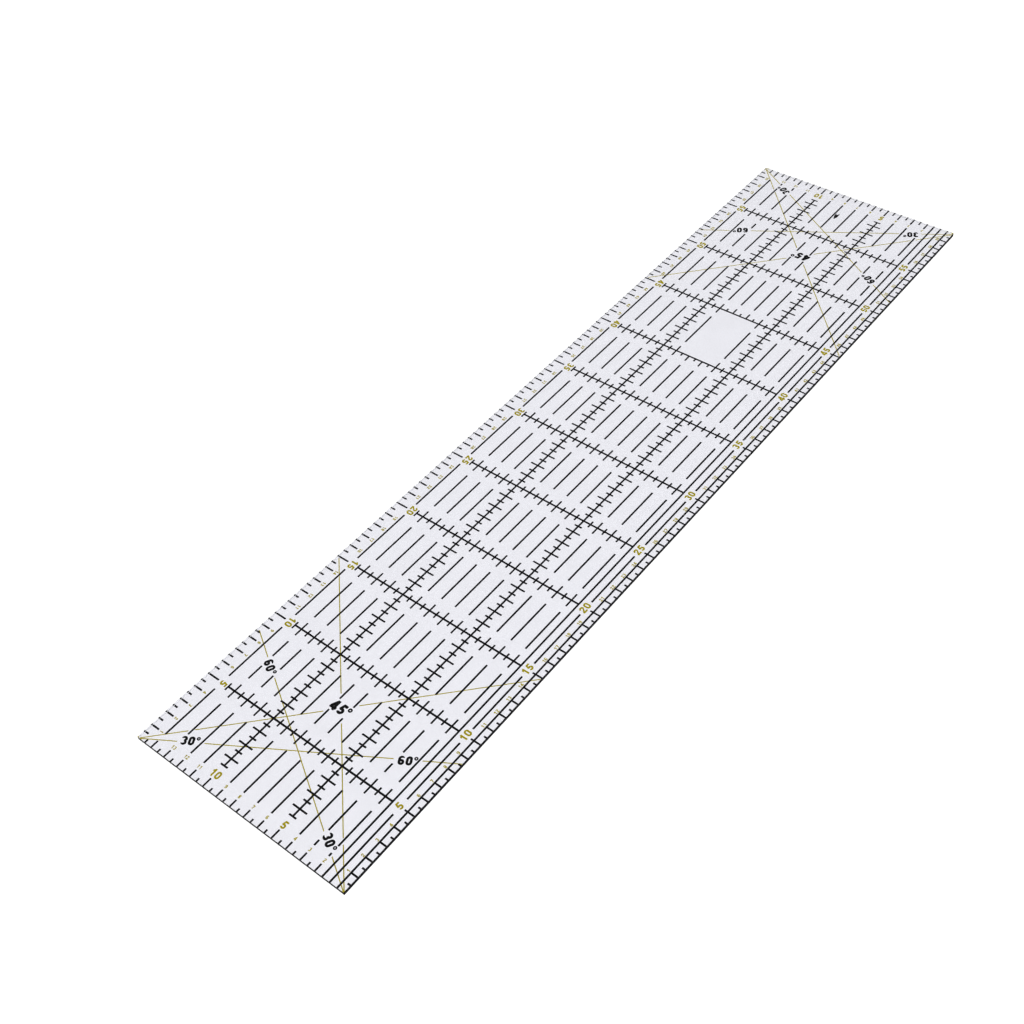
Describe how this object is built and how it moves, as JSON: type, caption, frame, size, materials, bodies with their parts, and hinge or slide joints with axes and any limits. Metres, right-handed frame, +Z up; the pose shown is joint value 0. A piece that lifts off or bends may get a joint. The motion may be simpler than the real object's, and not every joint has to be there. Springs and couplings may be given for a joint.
{
  "type": "quilting ruler",
  "caption": "Clear rectangular acrylic quilting ruler with a printed centimetre grid, edge scales with gold numerals, and 30, 45 and 60 degree lines.",
  "frame": {"origin": "middle of the underside, on the surface that the ruler lies on", "axes": "+Z up out of the face that is read; +Y along the ruler from the end whose scales start at zero; +X across it towards the edge with the three close reference lines"},
  "size_m": [0.15, 0.6, 0.0025],
  "materials": {
    "clear_acrylic": "clear cast acrylic with a faint lavender tint, glossy faces and saw-cut edges",
    "black_print": "opaque black screen ink, semi-matt where it faces the table",
    "gold_print": "olive-gold screen ink, semi-matt"
  },
  "bodies": {
    "root": {"acrylic_plate": "clear_acrylic", "crosswise_rules": "black_print", "lengthwise_rules": "black_print", "centimetre_dashes": "black_print", "right_5mm_line": "black_print", "right_10mm_line": "black_print", "right_15mm_line": "black_print", "left_10mm_line": "black_print", "right_edge_ticks": "black_print", "left_edge_ticks": "black_print", "near_edge_ticks": "black_print", "far_edge_ticks": "black_print", "near_angle_labels": "black_print", "far_angle_labels": "black_print", "middle_pointer": "black_print", "right_large_numerals": "gold_print", "left_large_numerals": "gold_print", "near_large_numerals": "gold_print", "far_large_numerals": "gold_print", "right_small_numerals": "gold_print", "left_small_numerals": "gold_print", "near_small_numerals": "gold_print", "far_small_numerals": "gold_print", "near_angle_lines": "gold_print", "far_angle_lines": "gold_print"}
  },
  "joints": []
}
